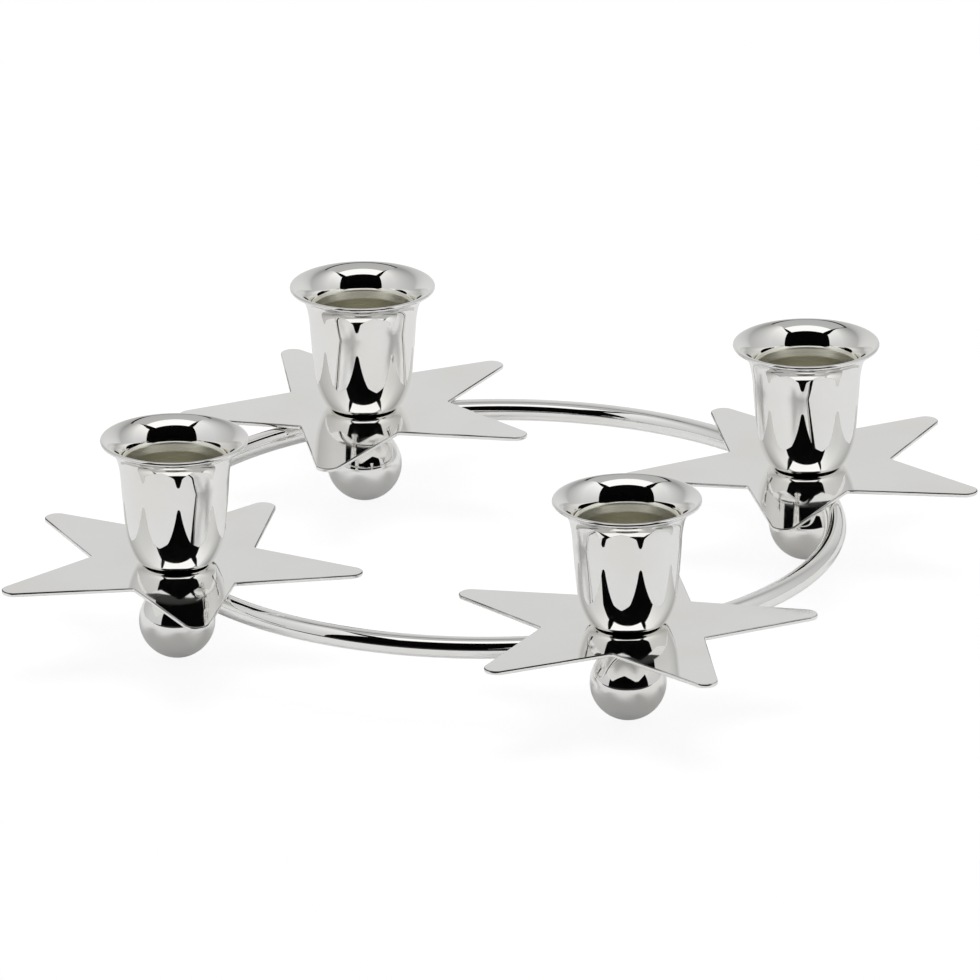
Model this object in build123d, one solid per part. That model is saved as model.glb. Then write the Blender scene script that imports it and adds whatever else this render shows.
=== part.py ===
"""Advent candle holder: a ring of round rod with four stations of ball foot, star plate and candle cup.

Millimetres, +Z up. The origin is on the ring's axis, in the plane that the ball feet stand on.
Each station is clamped by one screw: from inside the cup, through its floor, the star and the rod,
into the tapped ball. The star can be turned about that screw.
"""
from build123d import *
import math
import os

# Stations: place around the ring, and how far each star is turned from a tip pointing straight out.
station_angles = {"east": 0, "north": 90, "west": 180, "south": 270}
star_turns = {"east": 23.0, "north": 2.0, "west": 2.7, "south": 2.2}

# Ring
ring_diameter = 162.0
rod_diameter = 5.2

# Ball foot
ball_diameter = 18.0
ball_flat_diameter = 6.0

# Star plate
star_points = 5
star_reach = 44.7
notch_reach = 20.4
plate_thickness = 1.0
tip_round = 3.0
notch_round = 0.8
plate_edge_round = 0.3

# Candle cup; the neck and the flare are measured along the middle of the wall
cup_height = 30.8
cup_wall = 1.0
rim_diameter = 35.0
flare_height = 4.8
neck_height = 4.5
neck_spread = 0.68
taper_angle = 3.5
candle_bore = 23.2
bore_wall = 1.2
seat_depth = 7.2
candle_land = 5.0
belly_diameter = 23.6
belly_height = 8.5
base_diameter = 17.8
foot_diameter = 17.0
foot_height = 1.0
foot_round = 0.2

# Clamp screw and its split spring washer
screw_diameter = 3.0
screw_length = 16.0
head_diameter = 5.6
head_height = 2.0
head_round = 0.5
slot_width = 0.8
slot_depth = 0.9
washer_diameter = 6.2
washer_thickness = 0.7
washer_slit = 0.6

# Clearances
seat_gap = 0.02
turning_gap = 0.05
pivot_gap = 0.06
thread_gap = 0.02
screw_gap = 0.1
drill_runout = 1.0

# Heights of the stack, from the standing plane up
ball_radius = ball_diameter / 2
rod_radius = rod_diameter / 2
screw_radius = screw_diameter / 2
ball_flat_rise = math.sqrt(ball_radius**2 - (ball_flat_diameter / 2) ** 2)
ball_flat_z = ball_radius + ball_flat_rise
rod_z = ball_flat_z + seat_gap + rod_radius
plate_z = rod_z + rod_radius + turning_gap
cup_z = plate_z + plate_thickness + turning_gap
washer_z = cup_z + cup_wall
head_z = washer_z + washer_thickness
screw_tip_z = head_z - screw_length
drill_z = screw_tip_z - drill_runout

# The cup's wall, measured from its foot: its middle, and its lean from upright, at neck, flare and lip
neck_lean = math.radians(taper_angle)
bore_radius = candle_bore / 2
neck_x = bore_radius + bore_wall - cup_wall / 2
flare_x = neck_x + neck_spread
lip_x = (rim_diameter - cup_wall) / 2
lip_z = cup_height - cup_wall / 2
flare_z = lip_z - flare_height
neck_z = flare_z - neck_height
flare_lean = 2 * math.atan2(neck_spread, neck_height) - neck_lean
lip_lean = 2 * math.atan2(lip_x - flare_x, flare_height) - flare_lean
belly_radius = belly_diameter / 2
base_radius = base_diameter / 2
foot_radius = foot_diameter / 2
clear_hole = screw_radius + screw_gap


def ring_rod():
    """The closed rod ring, drilled from above at each station; its seam lies between stations."""
    between_stations = 180 / len(station_angles)
    with BuildPart() as ring:
        with Locations((0, 0, rod_z)):
            Torus(ring_diameter / 2, rod_radius, rotation=(0, 0, between_stations))
            with PolarLocations(ring_diameter / 2, len(station_angles)):
                Cylinder(clear_hole, 2 * rod_diameter, mode=Mode.SUBTRACT)
    return ring.part


def ball_foot():
    """A turned ball with a small flat on top for the rod, tapped for the screw."""
    flat_latitude = math.degrees(math.asin(ball_flat_rise / ball_radius))
    hole_depth = ball_flat_z - drill_z
    with BuildPart() as ball:
        Sphere(ball_radius, arc_size2=flat_latitude, align=(Align.CENTER, Align.CENTER, Align.MIN))
        with Locations((0, 0, drill_z)):
            Cylinder(
                screw_radius + thread_gap,
                hole_depth,
                align=(Align.CENTER, Align.CENTER, Align.MIN),
                mode=Mode.SUBTRACT,
            )
    return ball.part


def star_corners():
    """Sharp corners of the star, placed so that the rounded tips end at star_reach."""
    half_pitch = math.pi / star_points
    notch_x = notch_reach * math.cos(half_pitch)
    notch_y = notch_reach * math.sin(half_pitch)
    run = star_reach - tip_round - notch_x
    edge_angle = math.atan2(notch_y, run) - math.asin(tip_round / math.hypot(run, notch_y))
    sharp_reach = notch_x + notch_y / math.tan(edge_angle)
    corners = []
    for point in range(star_points):
        turn = 2 * half_pitch * point
        corners.append((sharp_reach * math.cos(turn), sharp_reach * math.sin(turn)))
        turn += half_pitch
        corners.append((notch_reach * math.cos(turn), notch_reach * math.sin(turn)))
    return corners


def star_plate():
    """A flat star of sheet with rounded tips and eased edges, and a close hole for the screw."""
    with BuildPart() as plate:
        with BuildSketch(Plane.XY.offset(plate_z)) as outline:
            with BuildLine():
                Polyline(*star_corners(), close=True)
            make_face()
            corners = outline.vertices().group_by(lambda corner: round(math.hypot(corner.X, corner.Y), 3))
            fillet(corners[-1], tip_round)
            fillet(corners[0], notch_round)
        extrude(amount=plate_thickness)
        fillet(plate.edges().filter_by(Plane.XY), plate_edge_round)
        with Locations((0, 0, plate_z)):
            Cylinder(screw_radius + pivot_gap, 3 * plate_thickness, mode=Mode.SUBTRACT)
    return plate.part


def flared_side(side):
    """The flare of one face of the wall: side is 1 for the outside, -1 for the inside."""
    off = side * cup_wall / 2
    flare = (flare_x + off * math.cos(flare_lean), flare_z - off * math.sin(flare_lean))
    lip = (lip_x + off * math.cos(lip_lean), lip_z - off * math.sin(lip_lean))
    TangentArc(flare, lip, tangent=(math.sin(flare_lean), math.cos(flare_lean)))
    return flare, lip


def cup_outside():
    """The outer face, from lip to foot: flare, neck, long taper, rounded belly and a low straight foot."""
    flare, lip = flared_side(1)
    off = cup_wall / 2
    neck = (neck_x + off * math.cos(neck_lean), neck_z - off * math.sin(neck_lean))
    belly = (belly_radius, belly_height)
    base = (base_radius, foot_height)
    rise = TangentArc(flare, neck, tangent=(-math.sin(flare_lean), -math.cos(flare_lean)))
    taper = TangentArc(neck, belly, tangent=rise % 1)
    TangentArc(belly, base, tangent=taper % 1)
    Polyline(base, (foot_radius, foot_height), (foot_radius, 0), (clear_hole, 0))
    return lip


def cup_inside():
    """The inner face, from lip to floor: flare, a sloping ledge, the straight land of the candle, taper and belly."""
    flare, lip = flared_side(-1)
    ledge_z = cup_height - seat_depth
    ledge_x = flare[0] - (flare[1] - ledge_z) * math.tan(flare_lean)
    land_high = ledge_z - (ledge_x - bore_radius)
    land_low = land_high - candle_land
    belly = (belly_radius - cup_wall, belly_height)
    floor_edge = (foot_radius - cup_wall, cup_wall)
    Polyline(flare, (ledge_x, ledge_z), (bore_radius, land_high), (bore_radius, land_low))
    taper = Line((bore_radius, land_low), belly)
    TangentArc(belly, floor_edge, tangent=taper % 1)
    Line(floor_edge, (clear_hole, cup_wall))
    return lip


def candle_cup():
    """A bell: low foot, rounded belly, long taper, then a neck that flares to a round lip."""
    lip_end = (lip_x + cup_wall / 2 * math.sin(lip_lean), lip_z + cup_wall / 2 * math.cos(lip_lean))
    with BuildPart() as cup:
        with BuildSketch(Plane.XZ) as section:
            with BuildLine():
                lip_under = cup_outside()
                lip_top = cup_inside()
                ThreePointArc(lip_under, lip_end, lip_top)
                Line((clear_hole, 0), (clear_hole, cup_wall))
            make_face()
            foot = section.vertices().sort_by_distance((foot_radius, 0, 0))[0]
            fillet(foot, foot_round)
        revolve(axis=Axis.Z)
    return Pos(0, 0, cup_z) * cup.part


def clamp_screw():
    """A slotted screw; its thread is drawn as a plain shank."""
    with BuildPart() as screw:
        with Locations((0, 0, screw_tip_z)):
            Cylinder(screw_radius, screw_length, align=(Align.CENTER, Align.CENTER, Align.MIN))
        with Locations((0, 0, head_z)):
            Cylinder(head_diameter / 2, head_height, align=(Align.CENTER, Align.CENTER, Align.MIN))
        crown = screw.edges().group_by(Axis.Z)[-1]
        fillet(crown, head_round)
        with Locations((0, 0, head_z + head_height - slot_depth)):
            Box(
                2 * head_diameter,
                slot_width,
                2 * slot_depth,
                align=(Align.CENTER, Align.CENTER, Align.MIN),
                mode=Mode.SUBTRACT,
            )
    return screw.part


def lock_washer():
    """A split spring washer, drawn flat as it is when clamped."""
    with BuildPart() as washer:
        with BuildSketch(Plane.XY.offset(washer_z)):
            Circle(washer_diameter / 2)
            Circle(clear_hole, mode=Mode.SUBTRACT)
            Rectangle(
                washer_diameter,
                washer_slit,
                align=(Align.MIN, Align.CENTER),
                mode=Mode.SUBTRACT,
            )
        extrude(amount=washer_thickness)
    return washer.part


def write_piece(name, piece):
    """Writes one piece to its own file."""
    piece.label = name
    export_step(piece, os.path.join("parts", name + ".step"))


def main():
    os.makedirs("parts", exist_ok=True)
    write_piece("ring_rod", ring_rod())
    pieces = {
        "ball_foot": ball_foot(),
        "star_plate": star_plate(),
        "candle_cup": candle_cup(),
        "clamp_screw": clamp_screw(),
        "lock_washer": lock_washer(),
    }
    for station, angle in station_angles.items():
        to_station = Rot(0, 0, angle) * Pos(ring_diameter / 2, 0, 0)
        for name, piece in pieces.items():
            turn = star_turns[station] if name == "star_plate" else 0
            write_piece(name + "_" + station, to_station * Rot(0, 0, turn) * piece)


main()
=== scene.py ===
"""Looks of the advent candle holder: silver-plated ring, star plates, bell cups and ball feet.

Metres, +Z up, in the part's own frame. Every new piece is a surface worked out on a grid of two
parameters, with normals of its own, because polished metal shows each facet.
"""
import bpy
import math
import numpy as np
from mathutils import Matrix, Vector


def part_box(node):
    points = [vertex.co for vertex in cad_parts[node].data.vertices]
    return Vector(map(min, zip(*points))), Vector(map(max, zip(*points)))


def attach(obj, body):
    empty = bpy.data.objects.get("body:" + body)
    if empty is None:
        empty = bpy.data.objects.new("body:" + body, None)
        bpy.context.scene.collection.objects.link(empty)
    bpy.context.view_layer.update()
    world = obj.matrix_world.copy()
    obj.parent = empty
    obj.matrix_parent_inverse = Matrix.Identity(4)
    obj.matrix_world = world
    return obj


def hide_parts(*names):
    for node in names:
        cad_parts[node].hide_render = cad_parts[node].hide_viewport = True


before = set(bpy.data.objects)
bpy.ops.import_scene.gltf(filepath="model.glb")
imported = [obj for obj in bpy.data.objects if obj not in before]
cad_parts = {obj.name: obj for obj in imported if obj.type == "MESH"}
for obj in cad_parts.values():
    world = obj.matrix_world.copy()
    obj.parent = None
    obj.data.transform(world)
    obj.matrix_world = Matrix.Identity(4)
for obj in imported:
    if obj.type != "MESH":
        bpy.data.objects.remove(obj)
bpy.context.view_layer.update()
mm = 0.001

# Stations: where each stands on the ring, and how far its star is turned, in degrees
station_angles = {"east": 0, "north": 90, "west": 180, "south": 270}
star_turns = {"east": 23.0, "north": 2.0, "west": 2.7, "south": 2.2}

# Ring, balls and the screws' holes
ring_radius = 81.0 * mm
rod_radius = 2.6 * mm
ball_radius = 9.0 * mm
ball_flat_radius = 3.0 * mm
hole_radius = 1.6 * mm
drill_runout = 1.0 * mm

# Star plate
star_points = 5
star_reach = 44.7 * mm
notch_reach = 20.4 * mm
tip_round = 3.0 * mm
notch_round = 0.8 * mm
edge_round = 0.3 * mm

# Candle cup; the neck and the flare are measured along the middle of the wall
cup_height = 30.8 * mm
wall = 1.0 * mm
rim_radius = 17.5 * mm
flare_height = 4.8 * mm
neck_height = 4.5 * mm
neck_spread = 0.68 * mm
taper_lean = math.radians(3.5)
bore_radius = 11.6 * mm
bore_wall = 1.2 * mm
seat_depth = 7.2 * mm
seat_step = 0.45 * mm
candle_land = 5.0 * mm
belly_radius = 11.8 * mm
belly_height = 8.5 * mm
heel_radius = 9.75 * mm
heel_height = 1.6 * mm
foot_radius = 7.0 * mm
floor_radius = 7.5 * mm
polish_round = 0.3 * mm

# The cup's wall: its middle, and its lean from upright, at neck, flare and lip
lip_middle = np.array([rim_radius - wall / 2, cup_height - wall / 2])
neck_middle = np.array([bore_radius + bore_wall - wall / 2, lip_middle[1] - flare_height - neck_height])
flare_middle = neck_middle + np.array([neck_spread, neck_height])
flare_lean = 2 * math.atan2(neck_spread, neck_height) - taper_lean
lip_lean = 2 * math.atan2(*(lip_middle - flare_middle)) - flare_lean

# How finely the surfaces are worked out: along a section, and in steps round an axis
rod_rows, rod_steps = 64, 512
ball_rows, ball_steps = 72, 144
arc_points = 60
lip_points = 15
walk_step = 0.02 * mm
cup_spacing = 0.2 * mm
cup_steps = 192
star_corner_points = 25
star_edge_points = 20

# Colours of the finishes
silver = (0.955, 0.952, 0.938)
silver_warm = (0.925, 0.915, 0.885)
silver_olive = (0.92, 0.905, 0.80)
# the dark colour of the painted reflection line on the stars' upper edge
painted_reflection_black = (0.08, 0.08, 0.08)
zinc = (0.62, 0.62, 0.63)
zinc_dull = (0.5, 0.5, 0.5)

# Silver plate: clouds and ripples to the metre, how finely they break up, and the haze's roughness
cast_clouds, cast_detail = 45.0, 3.0
wipe_clouds, wipe_detail = 260.0, 6.0
cloud_spread = (0.35, 0.75)
ripple_detail = 1.0
rod_ripples, rod_ripple_depth, rod_haze = 60.0, 0.003 * mm, (0.02, 0.06)
ball_ripples, ball_ripple_depth, ball_haze = 70.0, 0.004 * mm, (0.015, 0.05)
star_ripples, star_ripple_depth, star_haze = 30.0, 0.004 * mm, (0.03, 0.07)
cup_ripples, cup_ripple_depth, cup_haze = 90.0, 0.002 * mm, (0.02, 0.05)

# Inside the cup: how far past the top of the lip olive and satin set in, and the satin's fine lines
olive_span = (6.9 * mm, 7.1 * mm)
satin_span = (7.2 * mm, 7.4 * mm)
turning_marks, turning_detail = 9000.0, 2.0
turning_spread = (0.3, 0.7)
satin_haze = (0.22, 0.38)

# A painted dark reflection along the stars' upper edge: over which tilts, in degrees, it sets in and ends,
# and its patches
painted_reflection_start = (5.0, 20.0)
painted_reflection_end = (60.0, 80.0)
patch_spread = (0.42, 0.58)
patch_strength = (0.25, 0.95)

# Zinc-plated steel: blotches and dull spots to the metre
blotches, dull_spots, zinc_detail = 900.0, 1800.0, 4.0
zinc_spread = (0.3, 0.7)
zinc_haze = (0.28, 0.42)

# Shares that rise and fall
none_to_all = (0.0, 1.0)
all_to_none = (1.0, 0.0)

# Camera: angles in degrees, lens and sensor in millimetres
view_azimuth = -22.522
view_elevation = 20.282
view_roll = -0.535
view_distance = 4.2
view_reach = 100.0
view_lens = 650.74
view_sensor = 36.0
view_target = Vector((0, 0, 25.0 * mm))
view_aside = -0.793 * mm
view_above = 4.094 * mm

# Light tent, measured to the right of, nearer than and above the ring's centre
wall_aside = 0.40
left_front, right_front = 0.322, 0.275
tent_back = -0.40
wall_height, wall_front_height = 0.88, 0.65
wall_bow = 3
roof_height = 1.04
roof_left, roof_right = -0.47, 0.50
front_light_back, front_light_eave = 0.09, 0.53
floor_edge = (
    (-wall_aside, 0.10),
    (-0.16, 0.12),
    (-0.08, 0.15),
    (0, 0.178),
    (0.04, 0.186),
    (0.08, 0.172),
    (0.16, 0.158),
    (wall_aside, 0.15),
)
cloth_rows, cloth_columns = 13, 25

# How brightly the tent's cloth is lit along its foot, then its top: from back to front, or sides to middle
left_glow = ((0.50, 0.60), (0.30, 0.85))
right_glow = ((0.50, 0.60), (0.30, 0.95))
back_glow = ((0.52, 0.70), (0.30, 0.45))
roof_glow = ((0.45, 0.45), (0.48, 0.48))
front_light_glow = ((1.05, 1.05), (1.05, 1.05))
side_glow_pace = 1.6
back_glow_bow = 3

# The lamp under the roof
lamp_near = 0.14
lamp_drop = 5 * mm
lamp_size = 0.70
lamp_watts = 4.7

# The unlit studio round the tent, black sheets as painted shade, and the white room round that
room_width = 5.0
dark_room_floor_drop = 0.25 * mm
room_floor_drop = 0.5 * mm
dark_room_radius = 3.0
dark_room_rows, dark_room_steps = 13, 49
# shade of the black sheets that stand for the unlit room: painted shade
dark_room_shade = 0.05
white_shade = 1.0
room_light = 1.0

# The tent's paper: its shade, and the light and its shares with which the camera and the metal see it
paper_shade = 0.83
paper_light = 1.12
camera_light_share = 0.8
mirrored_light_share = 0.1


def link_piece(name, points, normals, faces):
    """A mesh from whole arrays of points and normals and a list of faces, its object at the origin."""
    mesh = bpy.data.meshes.new(name)
    mesh.from_pydata(points.tolist(), [], faces)
    mesh.shade_smooth()
    mesh.normals_split_custom_set_from_vertices(normals.tolist())
    piece = bpy.data.objects.new(name, mesh)
    bpy.context.scene.collection.objects.link(piece)
    return piece


def mark(piece, name, values):
    """Keeps one number for each vertex, for the finishes to read."""
    layer = piece.data.attributes.new(name, "FLOAT", "POINT")
    layer.data.foreach_set("value", values.astype(np.float32))


def loop_faces(rows, columns, rows_close):
    """Quads between neighbours on a grid whose columns run all the way round, and its rows if they close."""
    row = np.arange(rows if rows_close else rows - 1)[:, None] * columns
    column = np.arange(columns)[None, :]
    after = (column + 1) % columns
    above = (row + columns) % (rows * columns)
    quads = np.stack([row + column, row + after, above + after, above + column], axis=-1)
    return quads.reshape(-1, 4).tolist()


def pole_faces(rows, columns):
    """Triangles from such a grid's first row to a pole below it, and from its last row to one beyond it.

    The two poles follow the grid's own points.
    """
    first = np.arange(columns)
    after = (first + 1) % columns
    last_row = (rows - 1) * columns
    pole = np.full(columns, rows * columns)
    below = np.stack([pole, after, first], axis=-1)
    beyond = np.stack([pole + 1, last_row + first, last_row + after], axis=-1)
    return np.vstack([below, beyond]).tolist()


def walked(path):
    """How far each point of a path lies from its start."""
    return np.append(0, np.cumsum(np.hypot(*np.diff(path, axis=0).T)))


def turned(profile, slopes, steps, centre):
    """A profile (radius, height) carried round an upright axis: x = r cos u, y = r sin u, z = h.

    Its normals (outward, upward) go round with it.
    """
    angle = np.linspace(0, 2 * math.pi, steps, endpoint=False)
    across = np.stack([np.cos(angle), np.sin(angle)], axis=-1)
    points = np.empty((len(profile), steps, 3))
    normals = np.empty_like(points)
    points[..., :2] = profile[:, None, :1] * across + np.array(centre)
    points[..., 2] = profile[:, None, 1]
    normals[..., :2] = slopes[:, None, :1] * across
    normals[..., 2] = slopes[:, None, 1]
    return points.reshape(-1, 3), normals.reshape(-1, 3)


def station_centre(station):
    """Where a station's screw axis stands on the ring."""
    angle = math.radians(station_angles[station])
    return ring_radius * math.cos(angle), ring_radius * math.sin(angle)


def rod_ring():
    """The rod ring, a torus: r = ring + rod cos v and h = rod sin v, carried round the ring's axis."""
    low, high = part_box("ring_rod")
    section = np.linspace(0, 2 * math.pi, rod_rows, endpoint=False)
    slopes = np.stack([np.cos(section), np.sin(section)], axis=-1)
    profile = rod_radius * slopes + np.array([ring_radius, (low.z + high.z) / 2])
    points, normals = turned(profile, slopes, rod_steps, (0, 0))
    return link_piece("rod_ring", points, normals, loop_faces(rod_rows, rod_steps, True))


def ball(station):
    """A ball, r = R cos v and h = R sin v, from the pole that it stands on up to the flat under the rod.

    A blind hole for the screw runs down from the flat.
    """
    low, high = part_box("ball_foot_" + station)
    hole_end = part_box("clamp_screw_" + station)[0].z - drill_runout
    flat_latitude = math.acos(ball_flat_radius / ball_radius)
    latitude = np.linspace(-math.pi / 2, flat_latitude, ball_rows + 1)[1:]
    slopes = np.stack([np.cos(latitude), np.sin(latitude)], axis=-1)
    profile = ball_radius * slopes + np.array([0, low.z + ball_radius])
    profile = np.vstack([profile, [(hole_radius, high.z), (hole_radius, hole_end)]])
    slopes = np.vstack([slopes, [(0, 1), (-1, 0)]])
    centre = station_centre(station)
    points, normals = turned(profile, slopes, ball_steps, centre)
    points = np.vstack([points, [(*centre, low.z), (*centre, hole_end)]])
    normals = np.vstack([normals, [(0, 0, -1), (0, 0, 1)]])
    faces = loop_faces(len(profile), ball_steps, False) + pole_faces(len(profile), ball_steps)
    return link_piece("ball_" + station, points, normals, faces)


def arc(start, end, heading):
    """A circle's points from start to end, leaving along the heading, and the heading at the end.

    It bends by twice the angle from heading to chord: p = start + r (sin t heading + (1 - cos t) side).
    """
    start, end = np.array(start), np.array(end)
    heading = np.array(heading) / np.hypot(*heading)
    chord = end - start
    side = np.array([-heading[1], heading[0]])
    bend = 2 * math.atan2(chord @ side, chord @ heading)
    radius = math.hypot(*chord) / (2 * math.sin(bend / 2))
    turn = np.linspace(0, bend, arc_points)[:, None]
    points = start + radius * (np.sin(turn) * heading + (1 - np.cos(turn)) * side)
    return points, math.cos(bend) * heading + math.sin(bend) * side


def leaning(lean):
    """The direction that runs up a wall of this lean."""
    return np.array([math.sin(lean), math.cos(lean)])


def beside(middle, lean, side):
    """A point on one face of the wall, half a wall from its middle: side is 1 outside, -1 inside."""
    return middle + side * wall / 2 * np.array([math.cos(lean), -math.sin(lean)])


def flared_side(side):
    """The flare of one face of the wall, one arc from the neck up to the lip."""
    start = beside(flare_middle, flare_lean, side)
    points, _ = arc(start, beside(lip_middle, lip_lean, side), leaning(flare_lean))
    return points


def cup_outside():
    """The outer face from the foot up: flat foot, heel, belly, taper, neck and flare, arc after arc."""
    belly = (belly_radius, belly_height)
    heel = (heel_radius, heel_height)
    neck = beside(neck_middle, taper_lean, 1)
    flare = flared_side(1)
    taper, heading = arc(neck, belly, -leaning(taper_lean))
    rounding, heading = arc(belly, heel, heading)
    heel_round, _ = arc(heel, (foot_radius, 0), heading)
    rise, _ = arc(neck, flare[0], leaning(taper_lean))
    lower = [(hole_radius, 0), heel_round[::-1], rounding[-2::-1], taper[-2::-1]]
    return np.vstack([*lower, rise[1:], flare[1:]])


def lip_edge():
    """The lip, half a circle from the outer face over to the inner one."""
    turn = np.linspace(-lip_lean, math.pi - lip_lean, lip_points + 2)[1:-1]
    return lip_middle + wall / 2 * np.stack([np.cos(turn), np.sin(turn)], axis=-1)


def cup_inside():
    """The inner face from the lip down: flare, a small step, the candle's land, taper, belly and floor.

    The land begins where the flare, run straight on to the seat's depth and then in at half a right angle,
    would meet the bore.
    """
    flare = flared_side(-1)
    seat_z = cup_height - seat_depth
    seat_x = flare[0, 0] - (flare[0, 1] - seat_z) * math.tan(flare_lean)
    land_top = np.array([bore_radius, seat_z - (seat_x - bore_radius)])
    land_foot = land_top - np.array([0, candle_land])
    belly = np.array([belly_radius - wall, belly_height])
    bottom, _ = arc(belly, (floor_radius, wall), belly - land_foot)
    return np.vstack([flare[::-1], flare[0] - seat_step, land_top, land_foot, bottom, (hole_radius, wall)])


def eased(path, run, spacing):
    """A path walked at an even pace, each point the weighted mean of its neighbours over a short run."""
    length = walked(path)
    walk = np.arange(0, length[-1], walk_step)
    even = np.stack([np.interp(walk, length, path[:, side]) for side in (0, 1)], axis=-1)
    half = int(run / walk_step / 2)
    before = 2 * even[0] - even[half:0:-1]
    after = 2 * even[-1] - even[-2:-half - 2:-1]
    weights = np.hanning(2 * half + 3)[1:-1]
    weights /= weights.sum()
    longer = np.vstack([before, even, after])
    smooth = np.stack([np.convolve(longer[:, side], weights, mode="valid") for side in (0, 1)], axis=-1)
    return smooth[:: int(spacing / walk_step)]


def cup(station):
    """A bell cup: its section, with corners eased as by polishing, carried round the screw's axis."""
    foot_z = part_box("candle_cup_" + station)[0].z
    section = np.vstack([cup_outside(), lip_edge(), cup_inside()])
    profile = eased(section, polish_round, cup_spacing)
    slope = np.gradient(profile, axis=0)
    slope /= np.hypot(*slope.T)[:, None]
    slopes = np.stack([slope[:, 1], -slope[:, 0]], axis=-1)
    points, normals = turned(profile + np.array([0, foot_z]), slopes, cup_steps, station_centre(station))
    piece = link_piece("cup_" + station, points, normals, loop_faces(len(profile), cup_steps, True))
    length = walked(profile)
    lip_top = np.argmax(profile[:, 1])
    mark(piece, "past_lip", np.repeat(length - length[lip_top], cup_steps))
    return piece


def turned_flat(vectors, turn):
    """Flat vectors turned by an angle: x cos t - y sin t, x sin t + y cos t."""
    x, y = vectors[..., 0], vectors[..., 1]
    return np.stack([np.cos(turn) * x - np.sin(turn) * y, np.sin(turn) * x + np.cos(turn) * y], axis=-1)


def star_outline():
    """The star's edge and its outward normals: an arc at each tip and notch, straight runs between them.

    A tip's arc turns about a centre inside the plate, a notch's arc about one outside it, each from the
    normal of one straight run to the normal of the next.
    """
    half_pitch = math.pi / star_points
    notch_x = notch_reach * math.cos(half_pitch)
    notch_y = notch_reach * math.sin(half_pitch)
    run = star_reach - tip_round - notch_x
    lean = math.atan2(notch_y, run) - math.asin(tip_round / math.hypot(run, notch_y))
    tip_turn = math.pi / 2 - lean
    notch_turn = tip_turn - half_pitch
    share = np.linspace(-1, 1, star_corner_points)
    bearing = np.stack([share * tip_turn, -share * notch_turn])
    normal = np.stack([np.cos(bearing), np.sin(bearing)], axis=-1)
    centre = np.array([star_reach - tip_round, notch_reach + notch_round / math.cos(notch_turn)])
    radius = np.array([tip_round, -notch_round])
    corner = radius[:, None, None] * normal
    corner[..., 0] += centre[:, None]
    turn = (np.arange(2 * star_points) * half_pitch).reshape(star_points, 2, 1)
    return turned_flat(corner, turn).reshape(-1, 2), turned_flat(normal, turn).reshape(-1, 2)


def star(station):
    """A star plate: a section (bottom, eased edge, top) carried along the star's outline.

    On the edge the outline moves in along its normals by e (1 - cos v) while it rises by e sin v.
    """
    low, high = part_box("star_plate_" + station)
    outline, outward = star_outline()
    steps = len(outline)
    rise = np.linspace(-math.pi / 2, math.pi / 2, star_edge_points)[:, None]
    inset = edge_round * (1 - np.cos(rise))
    edge_z = np.where(rise < 0, low.z + edge_round, high.z - edge_round) + edge_round * np.sin(rise)
    hole = hole_radius * outline / np.hypot(*outline.T)[:, None]
    flat = np.concatenate([hole[None], outline - inset[..., None] * outward, hole[None]])
    level = np.concatenate([[[low.z]], edge_z, [[high.z]]]) + np.zeros(steps)
    tilt = np.concatenate([rise[:1], rise, rise[-1:]])
    lean = np.cos(tilt)[..., None] * outward
    spin = math.radians(station_angles[station] + star_turns[station])
    place = turned_flat(flat, spin) + np.array(station_centre(station))
    points = np.dstack([place, level]).reshape(-1, 3)
    normals = np.dstack([turned_flat(lean, spin), np.sin(tilt) + np.zeros(steps)]).reshape(-1, 3)
    piece = link_piece("star_" + station, points, normals, loop_faces(len(flat), steps, True))
    mark(piece, "tilt", np.repeat(np.degrees(tilt), steps))
    return piece


def start_finish(name):
    """A new metal finish: its material, node tree, metal shader and the piece's own coordinates."""
    material = bpy.data.materials.new(name)
    material.use_nodes = True
    tree = material.node_tree
    shader = tree.nodes["Principled BSDF"]
    shader.inputs["Metallic"].default_value = 1.0
    place = tree.nodes.new("ShaderNodeTexCoord").outputs["Object"]
    return material, tree, shader, place


def clouds(tree, place, count, detail):
    """Soft noise over a piece, count clouds to the metre."""
    node = tree.nodes.new("ShaderNodeTexNoise")
    node.inputs["Scale"].default_value = count
    node.inputs["Detail"].default_value = detail
    tree.links.new(place, node.inputs["Vector"])
    return node.outputs["Fac"]


def marked(tree, name):
    """The number that each vertex keeps under a name."""
    node = tree.nodes.new("ShaderNodeAttribute")
    node.attribute_name = name
    return node.outputs["Fac"]


def turning_lines(tree, along):
    """Fine lines round a turned piece: noise over the length walked along its section."""
    node = tree.nodes.new("ShaderNodeTexNoise")
    node.noise_dimensions = "1D"
    node.inputs["Scale"].default_value = turning_marks
    node.inputs["Detail"].default_value = turning_detail
    tree.links.new(along, node.inputs["W"])
    return node.outputs["Fac"]


def ranged(tree, value, spread, result):
    """A number that goes smoothly from one end of result to the other while value goes through spread."""
    node = tree.nodes.new("ShaderNodeMapRange")
    node.interpolation_type = "SMOOTHSTEP"
    for socket, number in zip(("From Min", "From Max", "To Min", "To Max"), (*spread, *result)):
        node.inputs[socket].default_value = number
    tree.links.new(value, node.inputs["Value"])
    return node.outputs["Result"]


def sums(tree, operation, first, second):
    """One step of arithmetic on two sockets, or on a socket and a number."""
    node = tree.nodes.new("ShaderNodeMath")
    node.operation = operation
    start, end, _ = node.inputs
    tree.links.new(first, start)
    if isinstance(second, float):
        end.default_value = second
    else:
        tree.links.new(second, end)
    return node.outputs["Value"]


def tints(tree, share, first, second):
    """A colour from first to second by share; first is a colour or a socket that gives one."""
    node = tree.nodes.new("ShaderNodeMix")
    node.data_type = "RGBA"
    start, end = (socket for socket in node.inputs if socket.type == "RGBA")
    tree.links.new(share, node.inputs["Factor"])
    if isinstance(first, tuple):
        start.default_value = (*first, 1)
    else:
        tree.links.new(first, start)
    end.default_value = (*second, 1)
    return next(socket for socket in node.outputs if socket.type == "RGBA")


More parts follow.
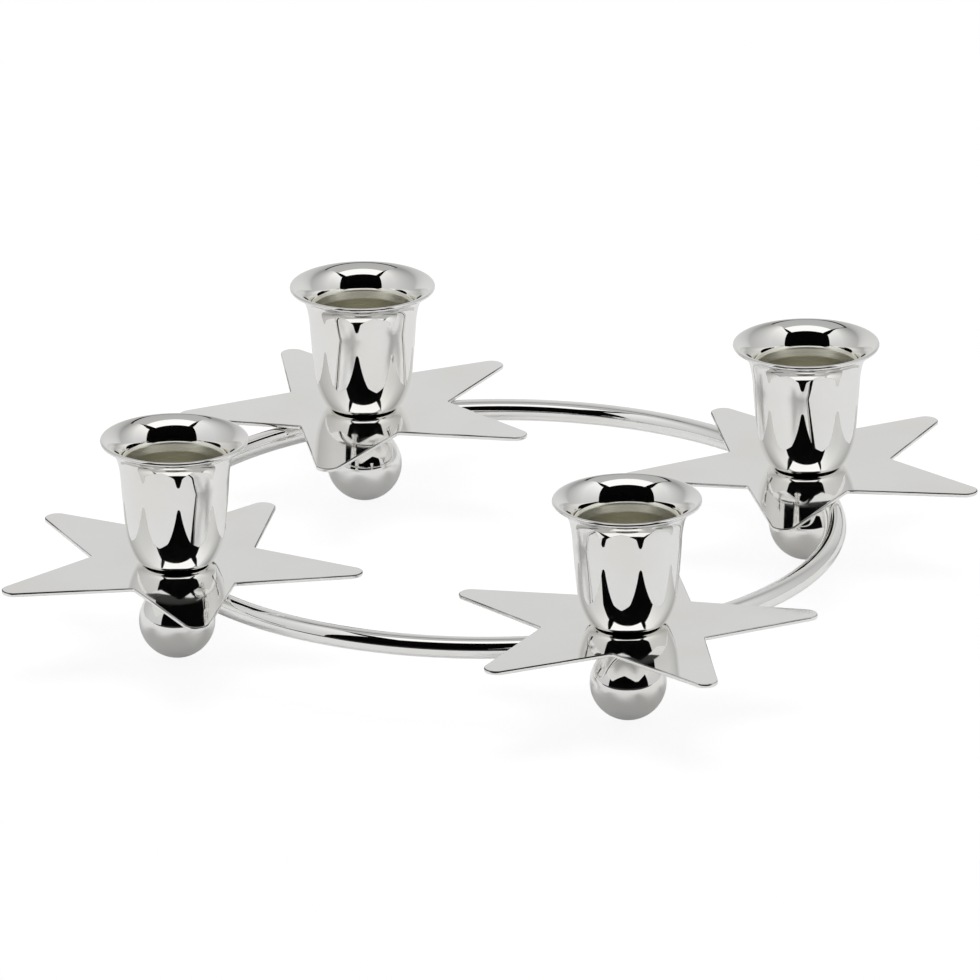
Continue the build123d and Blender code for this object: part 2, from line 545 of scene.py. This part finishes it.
def relief(tree, height, depth):
    """A bump whose full height stands depth proud."""
    node = tree.nodes.new("ShaderNodeBump")
    node.inputs["Distance"].default_value = depth
    tree.links.new(height, node.inputs["Height"])
    return node.outputs["Normal"]


def feeding(shader, name):
    """The socket that feeds one of a shader's inputs so far."""
    return shader.inputs[name].links[0].from_socket


def plated(name, haze, ripples, ripple_depth):
    """Polished silver plate: a faint warm cast in clouds, a haze of wiping marks and a slow ripple."""
    material, tree, shader, place = start_finish(name)
    cast = ranged(tree, clouds(tree, place, cast_clouds, cast_detail), cloud_spread, none_to_all)
    tree.links.new(tints(tree, cast, silver, silver_warm), shader.inputs["Base Color"])
    wiped = ranged(tree, clouds(tree, place, wipe_clouds, wipe_detail), cloud_spread, haze)
    tree.links.new(wiped, shader.inputs["Roughness"])
    waves = clouds(tree, place, ripples, ripple_detail)
    tree.links.new(relief(tree, waves, ripple_depth), shader.inputs["Normal"])
    return material, tree, shader, place


def rod_silver():
    """The rod's plate, polished."""
    material, *_ = plated("rod_silver", rod_haze, rod_ripples, rod_ripple_depth)
    return material


def ball_silver():
    """The balls' plate, the brightest polish of all."""
    material, *_ = plated("ball_silver", ball_haze, ball_ripples, ball_ripple_depth)
    return material


def cup_silver():
    """The cups' plate: polished outside and on the flare, satin and a little olive inside the bore."""
    material, tree, shader, _ = plated("cup_silver", cup_haze, cup_ripples, cup_ripple_depth)
    past_lip = marked(tree, "past_lip")
    olive = ranged(tree, past_lip, olive_span, none_to_all)
    tinted = tints(tree, olive, feeding(shader, "Base Color"), silver_olive)
    tree.links.new(tinted, shader.inputs["Base Color"])
    inside = ranged(tree, past_lip, satin_span, none_to_all)
    lines = ranged(tree, turning_lines(tree, past_lip), turning_spread, satin_haze)
    satin = sums(tree, "MULTIPLY", inside, lines)
    tree.links.new(sums(tree, "ADD", feeding(shader, "Roughness"), satin), shader.inputs["Roughness"])
    return material


def star_silver():
    """The stars' plate, with a broken dark line painted along the upper edge: a painted dark reflection."""
    material, tree, shader, place = plated("star_silver", star_haze, star_ripples, star_ripple_depth)
    tilt = marked(tree, "tilt")
    starting = ranged(tree, tilt, painted_reflection_start, none_to_all)
    ending = ranged(tree, tilt, painted_reflection_end, all_to_none)
    broken = ranged(tree, clouds(tree, place, cast_clouds, cast_detail), patch_spread, patch_strength)
    # painted dark reflection on the edge's upper round, broken into patches
    line = sums(tree, "MULTIPLY", sums(tree, "MULTIPLY", starting, ending), broken)
    lined = tints(tree, line, feeding(shader, "Base Color"), painted_reflection_black)
    tree.links.new(lined, shader.inputs["Base Color"])
    return material


def screw_steel():
    """Plain zinc-plated steel, blotched and dull in spots."""
    material, tree, shader, place = start_finish("screw_steel")
    blotched = ranged(tree, clouds(tree, place, blotches, zinc_detail), zinc_spread, none_to_all)
    tree.links.new(tints(tree, blotched, zinc, zinc_dull), shader.inputs["Base Color"])
    dull = ranged(tree, clouds(tree, place, dull_spots, zinc_detail), zinc_spread, zinc_haze)
    tree.links.new(dull, shader.inputs["Roughness"])
    return material


def view_directions():
    """The camera's right, up and back directions, before it is rolled."""
    turn, rise = math.radians(view_azimuth), math.radians(view_elevation)
    right = Vector((math.cos(turn), math.sin(turn), 0))
    back = Vector((math.sin(turn) * math.cos(rise), -math.cos(turn) * math.cos(rise), math.sin(rise)))
    return right, back.cross(right), back


def add_camera():
    """A long lens far off, rolled a little as the photograph is."""
    right, up, back = view_directions()
    place = view_target + view_aside * right + view_above * up + view_distance * back
    turn = Matrix((right, up, back)).transposed().to_4x4()
    camera = bpy.data.objects.new("camera", bpy.data.cameras.new("camera"))
    camera.data.lens = view_lens
    camera.data.sensor_width = view_sensor
    camera.data.clip_end = view_reach
    camera.matrix_world = Matrix.Translation(place) @ turn @ Matrix.Rotation(math.radians(view_roll), 4, "Z")
    bpy.context.scene.collection.objects.link(camera)
    bpy.context.scene.camera = camera


def tent_row(right, near, up):
    """A row of points of the light tent, from numbers or lists of them."""
    aside, _, back = view_directions()
    across = np.array([aside, Vector((back.x, back.y, 0)).normalized(), (0, 0, 1)])
    return np.stack(np.broadcast_arrays(right, near, up), axis=-1) @ across


def add_panel(name, rows, material):
    """A panel of the stage stretched between rows of points."""
    count = len(rows[0])
    start = np.arange(len(rows) - 1)[:, None] * count + np.arange(count - 1)
    faces = np.stack([start, start + 1, start + count + 1, start + count], axis=-1).reshape(-1, 4)
    mesh = bpy.data.meshes.new(name)
    mesh.from_pydata(np.vstack(rows).tolist(), [], faces.tolist())
    mesh.materials.append(material)
    panel = bpy.data.objects.new(name, mesh)
    bpy.context.scene.collection.objects.link(panel)
    return panel


def start_stage_material(name):
    """A material with no nodes but its output."""
    material = bpy.data.materials.new(name)
    material.use_nodes = True
    tree = material.node_tree
    tree.nodes.clear()
    return material, tree, tree.nodes.new("ShaderNodeOutputMaterial").inputs["Surface"]


def matt_grey(tree, shade):
    """A matt shader of one grey shade."""
    matt = tree.nodes.new("ShaderNodeBsdfDiffuse")
    matt.inputs["Color"].default_value = (shade, shade, shade, 1)
    return matt.outputs["BSDF"]


def tent_paper():
    """Matt pale paper.

    The camera sees most of it as light, and the metal a little, so that it is white and keeps its shadows.
    """
    material, tree, surface = start_stage_material("tent_paper")
    lit = tree.nodes.new("ShaderNodeEmission")
    lit.inputs["Strength"].default_value = paper_light
    ray = tree.nodes.new("ShaderNodeLightPath").outputs
    seen = sums(tree, "MULTIPLY", ray["Is Camera Ray"], camera_light_share)
    mirrored = sums(tree, "MULTIPLY", ray["Is Glossy Ray"], mirrored_light_share)
    mix = tree.nodes.new("ShaderNodeMixShader")
    share, paper, light = mix.inputs
    tree.links.new(sums(tree, "ADD", seen, mirrored), share)
    tree.links.new(matt_grey(tree, paper_shade), paper)
    tree.links.new(lit.outputs["Emission"], light)
    tree.links.new(mix.outputs["Shader"], surface)
    return material


def white_paper():
    """Paper that comes out white, whatever light falls on it."""
    material, tree, surface = start_stage_material("white_paper")
    lit = tree.nodes.new("ShaderNodeEmission")
    tree.links.new(lit.outputs["Emission"], surface)
    return material


def level_sheet(drop):
    """Two rows of points of a wide level sheet, a little under the standing plane."""
    width = np.array([-room_width, room_width])
    return [tent_row(width, near, -drop) for near in (room_width, -room_width)]


def add_floor():
    """The tent's pale paper floor, on a wide white one."""
    aside, edge = np.array(floor_edge).T
    rows = [tent_row(aside, edge, 0), tent_row(aside, tent_back, 0)]
    add_panel("tent_floor", rows, tent_paper())
    add_panel("room_floor", level_sheet(room_floor_drop), white_paper())


def tent_cloth():
    """White cloth that glows as brightly as its vertices say."""
    material, tree, surface = start_stage_material("tent_cloth")
    lit = tree.nodes.new("ShaderNodeEmission")
    tree.links.new(marked(tree, "glow"), lit.inputs["Strength"])
    tree.links.new(lit.outputs["Emission"], surface)
    return material


def eased_share(start, end, count):
    """Even steps from start to end, and how far along each is, easing in and out."""
    share = np.linspace(0, 1, count)
    return start + (end - start) * share, share**2 * (3 - 2 * share)


def add_cloth(name, rows, along, up, glow, cloth):
    """A panel of the tent that the metal sees and the camera doesn't, lit by shares along it and up it."""
    (low_start, low_end), (high_start, high_end) = glow
    low = low_start + (low_end - low_start) * along
    high = high_start + (high_end - high_start) * along
    panel = add_panel(name, rows, cloth)
    mark(panel, "glow", (low + (high - low) * up[:, None]).ravel())
    panel.visible_camera = False


def add_side_wall(name, aside, front, glow, cloth):
    """A side wall, whose top falls in a bow to its front and whose light grows towards it."""
    heights, up = eased_share(0, 1, cloth_rows)
    depth, along = eased_share(tent_back, front, cloth_columns)
    top = wall_height + (wall_front_height - wall_height) * along**wall_bow
    rows = [tent_row(aside, depth, height * top) for height in heights]
    add_cloth(name, rows, np.minimum(along * side_glow_pace, 1), up, glow, cloth)


def add_back_wall(cloth):
    """The back wall, whose light falls in a bow from its middle to its sides."""
    heights, up = eased_share(0, 1, cloth_rows)
    across = np.linspace(-1, 1, cloth_columns)
    rows = [tent_row(wall_aside * across, tent_back, height * wall_height) for height in heights]
    add_cloth("back_wall", rows, 1 - np.abs(across) ** back_glow_bow, up, back_glow, cloth)


def add_roof_panel(name, back, front, glow, cloth):
    """A level panel over the tent; its back edge counts as its foot and its front edge as its top."""
    width = np.array([roof_left, roof_right])
    rows = [tent_row(width, near, roof_height) for near in (back, front)]
    ends = np.array([0, 1])
    add_cloth(name, rows, ends, ends, glow, cloth)


def add_tent():
    """A light tent open to the camera: side walls, back wall, dim roof and a bright panel in front of it."""
    cloth = tent_cloth()
    add_side_wall("left_wall", -wall_aside, left_front, left_glow, cloth)
    add_side_wall("right_wall", wall_aside, right_front, right_glow, cloth)
    add_back_wall(cloth)
    add_roof_panel("roof", tent_back, front_light_back, roof_glow, cloth)
    add_roof_panel("front_light", front_light_back, front_light_eave, front_light_glow, cloth)


def painted_dark_room():
    """Matt black sheet, painted shade for the unlit room round the tent."""
    material, tree, surface = start_stage_material("painted_dark_room")
    tree.links.new(matt_grey(tree, dark_room_shade), surface)
    return material


def dome_row(rise, turn):
    """A level ring of points on the dome.

    To the right r cos a cos u, nearer r cos a sin u and up r sin a, where a is the rise and u the turn.
    """
    level = dark_room_radius * math.cos(rise)
    return tent_row(level * np.cos(turn), level * np.sin(turn), dark_room_radius * math.sin(rise))


def add_dark_room():
    """The unlit room round the tent, seen by the metal alone: painted shade, a black floor sheet and a black
    dome.
    """
    black = painted_dark_room()
    turn = np.linspace(0, 2 * math.pi, dark_room_steps)
    dome = [dome_row(rise, turn) for rise in np.linspace(0, math.pi / 2, dark_room_rows)]
    for name, rows in (("dark_room_floor", level_sheet(dark_room_floor_drop)), ("dark_room_dome", dome)):
        add_panel(name, rows, black).visible_camera = False


def add_white_room():
    """A plain white room, which the camera sees behind everything."""
    world = bpy.data.worlds.new("room")
    bpy.context.scene.world = world
    world.use_nodes = True
    background = world.node_tree.nodes["Background"]
    background.inputs["Color"].default_value = (white_shade, white_shade, white_shade, 1)
    background.inputs["Strength"].default_value = room_light


def add_softbox():
    """One large soft lamp under the tent's roof, which lights the floor."""
    lamp = bpy.data.lights.new("softbox", "AREA")
    lamp.size = lamp_size
    lamp.energy = lamp_watts
    softbox = bpy.data.objects.new("softbox", lamp)
    softbox.location = tent_row(0, lamp_near, roof_height - lamp_drop)
    softbox.rotation_euler = (0, 0, math.radians(view_azimuth))
    softbox.visible_camera = False
    softbox.visible_glossy = False
    bpy.context.scene.collection.objects.link(softbox)


def dress(piece, finish, body, node):
    """Gives a piece its finish and the body that it rides on, and hides the CAD node that it stands for."""
    piece.data.materials.append(finish)
    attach(piece, body)
    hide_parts(node)


def dress_fasteners(station, steel):
    """Gives a station's screw and washer, which keep their solids, their steel."""
    for fastener in ("clamp_screw_", "lock_washer_"):
        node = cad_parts[fastener + station]
        node.data.materials.clear()
        node.data.materials.append(steel)


def dress_holder():
    """All pieces in their places and finishes."""
    ball_finish = ball_silver()
    star_finish = star_silver()
    cup_finish = cup_silver()
    steel = screw_steel()
    dress(rod_ring(), rod_silver(), "holder", "ring_rod")
    for station in station_angles:
        dress(ball(station), ball_finish, "holder", "ball_foot_" + station)
        dress(star(station), star_finish, "star_" + station, "star_plate_" + station)
        dress(cup(station), cup_finish, "holder", "candle_cup_" + station)
        dress_fasteners(station, steel)


dress_holder()
add_camera()
add_floor()
add_tent()
add_dark_room()
add_white_room()
add_softbox()
bpy.context.scene.view_settings.view_transform = "Standard"
